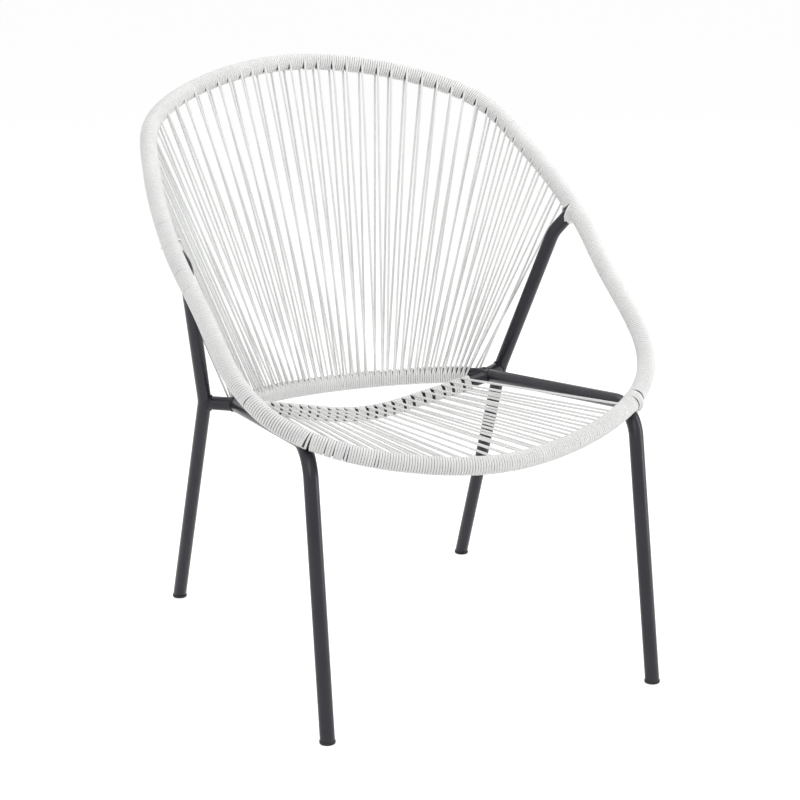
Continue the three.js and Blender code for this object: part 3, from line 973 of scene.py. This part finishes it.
@dataclass
class CordPath:
    """Centre line of one continuous length of cord, laid turn by turn and strand by strand."""

    pitch: float = 0.00385
    ease: float = 0.85
    steps_per_turn: int = 18
    strand_steps: int = 3
    bevel_steps: int = 2
    crease: float = math.radians(75)
    points: list[Vector] = field(default_factory=list)

    @property
    def lead(self) -> float:
        """Distance from a station to each of its strands that keeps all outer turns evenly pitched."""
        return self.pitch * (0.25 + self.ease / FULL_TURN)

    def wind(self, tube: WoundTube, ends: tuple[float, float], start: Layer,
             crossings: Sequence[LegCrossing] = (), loose: Sequence[LooseTurn] = (),
             squeeze: float = 0.0) -> None:
        """Lay turns along a tube, over its outer side first.

        Args:
            tube: the tube that the cord goes round.
            ends: lengths along it where the turns start and end.
            start: layer that the cord comes from. It leaves in the other layer.
            crossings: places where a leg is in the way.
            loose: places where turns stand apart.
            squeeze: length by which the turns are pressed together.
        """
        span = ends[1] - ends[0]
        whole_turns = max(0, round((abs(span) + squeeze) / self.pitch - 0.5))
        sweep = math.pi + whole_turns * FULL_TURN
        steps = math.ceil(self.steps_per_turn * sweep / FULL_TURN)
        if start is Layer.BACK:
            sweep = -sweep
        angles = [start.value + sweep * i / steps for i in range(steps + 1)]
        marks = [self._advance(angle) for angle in angles]
        for angle, mark in zip(angles, marks):
            s = ends[0] + span * (mark - marks[0]) / (marks[-1] - marks[0])
            lift = sum(place.raised(s, angle) for place in loose)
            s += sum(place.shift(s, angle) for place in loose)
            for crossing in crossings:
                s, clear = crossing.cleared(tube, s, angle, sweep / span)
                if clear:
                    lift = max(lift, clear)
                    break
            self.points.append(tube.point(s, angle, lift))

    def _advance(self, angle: float) -> float:
        """Turn's share of its way along the tube, which it makes mostly on the inner side."""
        return angle + self.ease * math.cos(angle)

    def cross(self, start: Vector, end: Vector, sway: Vector) -> None:
        """Lay a strand from tube to tube, with a trace of slack.

        Args:
            start: point where it leaves the one tube.
            end: point where it meets the other.
            sway: how far its middle bows aside.
        """
        for i in range(1, self.strand_steps):
            share = i / self.strand_steps
            self.points.append(start.lerp(end, share) + sway * math.sin(math.pi * share))

    def build(self, name: str, stands_for: Sequence[str]) -> None:
        """Draw the cord as a round tube.

        Args:
            name: the piece's name.
            stands_for: the model's nodes that it is shown in place of.
        """
        length = sum((b - a).length for a, b in zip(self.points, self.points[1:]))
        LOG.info("%s takes %.2f m of cord", name, length)
        curve = bpy.data.curves.new(name, "CURVE")
        curve.dimensions = "3D"
        curve.bevel_depth = CORD_RADIUS
        curve.bevel_resolution = self.bevel_steps
        curve.use_fill_caps = True
        spline = curve.splines.new("POLY")
        spline.points.add(len(self.points) - 1)
        spline.points.foreach_set("co", [value for point in self.points for value in (*point, 1.0)])
        finish_piece(name, evaluated(linked(name, curve)), Slot.CORD, stands_for, self.crease)


@dataclass
class Web:
    """Cords strung to and fro between the rim and one tube of the seat frame.

    Attributes:
        name: what the web is part of.
        groups: how many nodes of the model it stands for.
        rim_tube: the rim.
        rim_places: station places along the rim.
        tube: the other tube.
        edges: bounds between the stations along the other tube.
        hooks: places along it of a first and a last station that have no turn round it.
        gap: bare length of the other tube on both sides of each bound.
        hook_width: distance between the two strands of such a station.
        hook_turn: how far round the tube such a station reaches.
        hook_lift: how far it stays off the tube.
        hook_steps: steps that it is drawn in.
        slack: furthest that a strand bows aside.
    """

    name: str
    groups: int
    rim_tube: WoundTube
    rim_places: list[float]
    tube: WoundTube
    edges: list[float]
    hooks: Sequence[float] = ()
    gap: float = 0.0
    hook_width: float = 0.0055
    hook_turn: float = 0.5
    hook_lift: float = 0.0005
    hook_steps: int = 4
    slack: float = 0.0004

    def __post_init__(self) -> None:
        """Find which way the web runs along its tube."""
        self.way = 1 if self.edges[-1] > self.edges[0] else -1

    @property
    def landings(self) -> list[float]:
        """Middle of each station along the tube."""
        middles = [(a + b) / 2 for a, b in zip(self.edges, self.edges[1:])]
        return [*self.hooks[:1], *middles, *self.hooks[1:]]

    def build(self, path: CordPath, crossings: Sequence[LegCrossing],
              loose: dict[str, Sequence[LooseTurn]], dice: random.Random) -> None:
        """String the web in one go and draw it.

        Args:
            path: the cord to lay.
            crossings: legs that stand in the way on the rim.
            loose: places on each tube where turns stand apart.
            dice: source of the small unevenness.
        """
        first = len(self.hooks[:1])
        inset = self.way * (path.lead + self.gap)
        for i, place in enumerate(self.rim_places):
            down = self.rim_tube.point(place - path.lead, Layer.FRONT.value)
            path.points.append(down)
            if first <= i < first + len(self.edges) - 1:
                ends = (self.edges[i - first] + inset, self.edges[i - first + 1] - inset)
                path.cross(down, self.tube.point(ends[0], Layer.FRONT.value), self._sway(dice))
                path.wind(self.tube, ends, Layer.FRONT, loose=loose[self.tube.name], squeeze=2 * self.gap)
            else:
                self._hook(path, down, self.hooks[0 if i < first else -1], dice)
            up = self.rim_tube.point(place + path.lead, Layer.BACK.value)
            path.cross(path.points[-1], up, self._sway(dice))
            if i + 1 < len(self.rim_places):
                ends = (place + path.lead, self.rim_places[i + 1] - path.lead)
                path.wind(self.rim_tube, ends, Layer.BACK, crossings, loose[self.rim_tube.name])
        path.points.append(self.rim_tube.point(self.rim_places[-1] + path.lead, Layer.BACK.value))
        path.build(f"{self.name}_web", [f"{self.name}_cords_{i + 1:02d}" for i in range(self.groups)])

    def _hook(self, path: CordPath, down: Vector, place: float, dice: random.Random) -> None:
        """Lead the cord behind the tube and back, without a turn round it.

        Args:
            path: the cord to lay.
            down: point where the cord leaves the rim.
            place: length along the tube of the station's middle.
            dice: source of the small unevenness.
        """
        start = place - self.way * self.hook_width / 2
        path.cross(down, self.tube.point(start, Layer.BACK.value), self._sway(dice))
        for i in range(self.hook_steps + 1):
            share = i / self.hook_steps
            angle = Layer.BACK.value - self.hook_turn * math.sin(math.pi * share)
            s = start + self.way * self.hook_width * share
            path.points.append(self.tube.point(s, angle, self.hook_lift))

    def _sway(self, dice: random.Random) -> Vector:
        """Small sideways bow of one strand."""
        return Vector([dice.uniform(-self.slack, self.slack) for _ in range(3)])


@dataclass
class StrungCord:
    """The whole cord: seat web, back web and the windings of both arms.

    The rim's own loose turns have their lengths along the rim, below zero in the left half of the
    seat web. Those at the welds and on the bow have theirs from the weld or the bow's middle.
    """

    rim: Rim
    tubes: TubeFrame
    seat_groups: int = 6
    back_groups: int = 11
    seat_rim: Spread = Spread(22, 0.241, 0.023)
    seat_rail: Spread = Spread(23, 0.187, 0.017)
    back_rim: Spread = Spread(44, 0.565, 0.0252)
    back_bow: Spread = Spread(43, 0.2155, 0.0118)
    back_hook: float = 0.2225
    front_parting: Parting = Parting(width=0.0095, onset=0.72, ramp=0.2, lift=0.1)
    rear_parting: Parting = Parting(FRAME_RADIUS + CORD_RADIUS, onset=0.0, ramp=0.35, lift=0.7, split=0.003)
    loose_rim: Sequence[LooseTurn] = (
        LooseTurn(0.1306, 0.0012), LooseTurn(-0.2184, 0.0021), LooseTurn(-0.2222, 0.0021),
        LooseTurn(-0.2387, 0.0022), LooseTurn(-0.2412, 0.0016), LooseTurn(2.3752, 0.0016),
        LooseTurn(2.3682, 0.0015), LooseTurn(2.2394, 0.0016),
    )
    loose_left_weld: Sequence[LooseTurn] = (LooseTurn(-0.0023, 0.0045), LooseTurn(0.0015, 0.0045))
    loose_right_weld: Sequence[LooseTurn] = (
        LooseTurn(0.0065, 0.0048, widest=math.radians(105)),
        LooseTurn(-0.004, 0.0008, reach=0.006, bulge=0.006),
        LooseTurn(-0.0095, 0.003, reach=0.004, widest=math.radians(120)),
    )
    loose_bow: LooseTurn = LooseTurn(0.071, 0.0014)
    loose_every: float = 0.11
    loose_opening: float = 0.0012
    least_opening_share: float = 0.4
    rail_gap: float = 0.0006
    rim_pitch: float = 0.00383
    bow_pitch: float = 0.0039
    rail_pitch: float = 0.00385
    rail_face: Triple = (0, 0, 1)
    bow_face: Triple = (0, -1, 0.3)
    unevenness: float = 0.0012
    least_turns: int = 2
    edge_share: float = 0.0001
    seed: int = 7

    def __post_init__(self) -> None:
        """Settle where each strand leaves the rim and lands on its tube, and set up both webs."""
        self.dice = random.Random(self.seed)
        tubes = self.tubes
        middle = tubes.bow_middle
        self.seat_places = self._stepped(self.seat_rim.places(), self.rim_pitch)
        seat_edges = self._stepped(self.seat_rail.places(tubes.rail_route.length / 2), self.rail_pitch)
        self.back_places = self._stepped(self.back_rim.places(self.rim.top), self.rim_pitch)
        back_edges = self._stepped(self.back_bow.places(middle)[::-1], self.bow_pitch)
        self.rim_tube = WoundTube("rim", self.rim.route, RIM_RADIUS, self._partner)
        rail = WoundTube("rail", tubes.rail_route, SEAT_RAIL_RADIUS,
                         lambda s: self._toward_rim(s, self.seat), Vector(self.rail_face))
        bow = WoundTube("bow", tubes.seat_route, FRAME_RADIUS,
                        lambda s: self._toward_rim(s, self.back), Vector(self.bow_face))
        self.seat = Web("seat", self.seat_groups, self.rim_tube, self.seat_places, rail, seat_edges,
                        gap=self.rail_gap)
        self.back = Web("back", self.back_groups, self.rim_tube, self.back_places, bow, back_edges,
                        (middle + self.back_hook, middle - self.back_hook))

    def _stepped(self, targets: Sequence[float], pitch: float) -> list[float]:
        """Move places so that a whole number of turns fits between neighbours.

        Args:
            targets: places to stay close to, in order either way.
            pitch: distance from turn to turn to aim at.

        Returns:
            The moved places, of which the first and the last stay.
        """
        span = targets[-1] - targets[0]
        turns = round(abs(span) / pitch)
        counts = [0]
        for target in targets[1:-1]:
            nudge = self.dice.uniform(-self.unevenness, self.unevenness)
            wanted = (target - targets[0] + nudge) / span * turns
            counts.append(max(counts[-1] + self.least_turns, round(wanted)))
        return [targets[0] + span * count / turns for count in (*counts, turns)]

    def _partner(self, s: float) -> Vector:
        """Look from the rim towards the other end of the web, or on an arm between the ways of both webs.

        Args:
            s: length along the rim.

        Returns:
            The direction.
        """
        length = self.rim.route.length
        from_front = (s + length / 2) % length - length / 2
        reach = abs(from_front)
        seat_end, back_start = self.seat_places[-1], self.back_places[0]
        if reach <= seat_end:
            return self._across(from_front, self.seat)
        if reach >= back_start:
            return self._across(from_front % length, self.back)
        low = self._partner(math.copysign(seat_end * (1 - self.edge_share), from_front))
        high = self._partner(math.copysign(back_start * (1 + self.edge_share), from_front))
        return low.lerp(high, (reach - seat_end) / (back_start - seat_end))

    def _across(self, s: float, web: Web) -> Vector:
        """Look from the rim along a web.

        Args:
            s: length along the rim, as in the web's places.
            web: the web.

        Returns:
            Unit direction to the place on the other tube that belongs to this one.
        """
        landing = float(np.interp(s, web.rim_places, web.landings))
        return (web.tube.route.at(landing).point - self.rim.route.at(s).point).normalized()

    def _toward_rim(self, s: float, web: Web) -> Vector:
        """Look from the other tube along a web.

        Args:
            s: length along the other tube.
            web: the web.

        Returns:
            Direction to the place on the rim that belongs to this one.
        """
        landings = [web.way * landing for landing in web.landings]
        place = float(np.interp(web.way * s, landings, web.rim_places))
        return self.rim.route.at(place).point - web.tube.route.at(s).point

    def _crossings(self) -> list[LegCrossing]:
        """Find where the legs meet the rim.

        Returns:
            The front and the rear crossing of each side.
        """
        crossings = []
        seat_route, middle = self.tubes.seat_route, self.tubes.bow_middle
        for side in Side:
            front = self.rim.place(side, self.tubes.front_weld)
            point = self.rim.route.at(front).point
            ends = (middle, seat_route.length) if side is Side.RIGHT else (0.0, middle)
            toward = (seat_route.at(seat_route.nearest(point, *ends)).point - point).normalized()
            crossings.append(LegCrossing(front, toward, self.front_parting))
            rear = self.rim.place(side, self.tubes.rear_weld)
            toward = side.placed(self.tubes.rear_top_offset).normalized()
            crossings.append(LegCrossing(rear, toward, self.rear_parting))
        return crossings

    def _scattered(self, start: float, end: float) -> list[LooseTurn]:
        """Scatter a few loose turns along a tube.

        Args:
            start: length along the tube where they start.
            end: length along it where they end.

        Returns:
            The loose turns.
        """
        return [LooseTurn(self.dice.uniform(start, end),
                          self.loose_opening * self.dice.uniform(self.least_opening_share, 1))
                for _ in range(round((end - start) / self.loose_every))]

    def _loose_turns(self) -> dict[str, Sequence[LooseTurn]]:
        """Gather all loose turns.

        Returns:
            The loose turns of each tube, by its name.
        """
        left_weld, right_weld = (self.rim.place(side, self.tubes.front_weld) for side in Side)
        seat_end = self.seat_places[-1]
        return {
            "rim": [*(turn.moved(left_weld) for turn in self.loose_left_weld),
                    *(turn.moved(right_weld) for turn in self.loose_right_weld),
                    *self.loose_rim, *self._scattered(-seat_end, self.rim.route.length - seat_end)],
            "rail": self._scattered(self.seat.edges[0], self.seat.edges[-1]),
            "bow": [self.loose_bow.moved(self.tubes.bow_middle),
                    *self._scattered(self.back.edges[-1], self.back.edges[0])],
        }

    def build(self) -> None:
        """Lay and draw the cord, piece by piece."""
        loose = self._loose_turns()
        crossings = self._crossings()
        for web in (self.seat, self.back):
            web.build(CordPath(), crossings, loose, self.dice)
        lead = CordPath().lead
        arms = {
            Side.RIGHT: (self.seat_places[-1] + lead, self.back_places[0] - lead),
            Side.LEFT: (self.back_places[-1] + lead, self.seat_places[0] + self.rim.route.length - lead),
        }
        for side, ends in arms.items():
            path = CordPath()
            path.wind(self.rim_tube, ends, Layer.BACK, crossings, loose["rim"])
            path.build(f"arm_turns_{side.label}", [f"arm_winding_{side.label}"])


# Studio


@dataclass(frozen=True)
class Lamp:
    """Soft panel lamp that faces the chair's middle at one height."""

    name: str
    place: Triple
    aim_height: float
    width: float
    height: float
    power: float

    def hang(self) -> None:
        """Put the lamp in the scene."""
        data = bpy.data.lights.new(self.name, "AREA")
        data.shape = "RECTANGLE"
        data.size, data.size_y = self.width, self.height
        data.energy = self.power
        lamp = linked(self.name, data)
        lamp.location = self.place
        aim = Vector((0, 0, self.aim_height)) - Vector(self.place)
        lamp.rotation_euler = aim.to_track_quat("-Z", "Y").to_euler()


@dataclass
class Studio:
    """Pale floor, soft lamps and the camera."""

    camera_place: Triple = (-1.251552, -2.896669, 1.203526)
    camera_right: Triple = (0.915752, -0.401577, -0.011587)
    camera_up: Triple = (0.115611, 0.235796, 0.964901)
    lens: float = 94.7545
    sensor: float = 36.0
    shift: tuple[float, float] = (0.005872, 0.025391)
    lamps: Sequence[Lamp] = (
        Lamp("front_panel", (-1.5, -2.3, 1.9), 0.45, 1.8, 1.8, 20),
        Lamp("left_panel", (-2.4, -0.5, 1.0), 0.45, 1.0, 2.0, 5),
        Lamp("side_strip", (2.0, -1.3, 1.0), 0.5, 0.45, 2.0, 24),
        Lamp("top_panel", (0.2, 0.5, 2.6), 0.4, 1.6, 1.6, 20),
    )
    light_level: float = 0.5
    floor_size: float = 30.0
    floor_colour: Colour = linear(240, 240, 240)
    floor_glow: float = 0.55

    def build(self) -> None:
        """Set up the whole studio."""
        self._camera()
        self._world()
        self._floor()
        for lamp in self.lamps:
            lamp.hang()
        bpy.context.scene.view_settings.view_transform = "Standard"

    def _camera(self) -> None:
        """Place the camera where the photograph was taken from."""
        right, up = Vector(self.camera_right).normalized(), Vector(self.camera_up).normalized()
        data = bpy.data.cameras.new("camera")
        data.sensor_width = self.sensor
        data.lens = self.lens
        data.shift_x, data.shift_y = self.shift
        camera = linked("camera", data)
        rotation = Matrix((right, up, right.cross(up))).transposed()
        camera.matrix_world = Matrix.Translation(self.camera_place) @ rotation.to_4x4()
        bpy.context.scene.camera = camera

    def _seen(self, sheet: NodeSheet, unseen_level: float, seen_level: float) -> NodeSocket:
        """Choose a level by how a ray arrives.

        Args:
            sheet: the node tree to use.
            unseen_level: level for the rays that only carry light.
            seen_level: level for rays from the camera, or off gloss or through glass.

        Returns:
            The level.
        """
        path = sheet.add("ShaderNodeLightPath").outputs
        reflected = sheet.worked("MAXIMUM", path["Is Glossy Ray"], path["Is Transmission Ray"])
        seen = sheet.worked("MAXIMUM", path["Is Camera Ray"], reflected)
        return sheet.ranged(seen, (0, 1), (unseen_level, seen_level))

    def _world(self) -> None:
        """White surroundings to look at, and a plain level of light from them."""
        world = bpy.data.worlds.new("studio")
        bpy.context.scene.world = world
        world.use_nodes = True
        sheet = NodeSheet(world.node_tree)
        strength = self._seen(sheet, self.light_level, 1.0)
        background = sheet.add("ShaderNodeBackground", {"Color": (1, 1, 1, 1), "Strength": strength})
        sheet.add("ShaderNodeOutputWorld", {"Surface": background.outputs["Background"]})

    def _floor(self) -> None:
        """White floor that keeps a faint shadow."""
        bm = bmesh.new()
        bmesh.ops.create_grid(bm, x_segments=1, y_segments=1, size=self.floor_size)
        mesh = bpy.data.meshes.new("floor")
        bm.to_mesh(mesh)
        bm.free()
        material = bpy.data.materials.new("white_floor")
        material.use_nodes = True
        sheet = NodeSheet(material.node_tree)
        matt = sheet.add("ShaderNodeBsdfDiffuse", {"Color": self.floor_colour})
        glow = sheet.add("ShaderNodeEmission", {"Strength": self._seen(sheet, 0.0, self.floor_glow)})
        both = sheet.add("ShaderNodeAddShader", {0: matt.outputs["BSDF"], 1: glow.outputs["Emission"]})
        sheet.add("ShaderNodeOutputMaterial", {"Surface": both.outputs["Shader"]})
        mesh.materials.append(material)
        linked("floor", mesh)


def main() -> None:
    """Build the chair and its studio."""
    logging.basicConfig(level=logging.INFO, format="%(message)s")
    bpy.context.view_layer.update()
    Studio().build()
    rim = Rim()
    rim.build()
    tubes = TubeFrame(rim)
    tubes.build()
    StrungCord(rim, tubes).build()


if __name__ == "__main__":
    main()
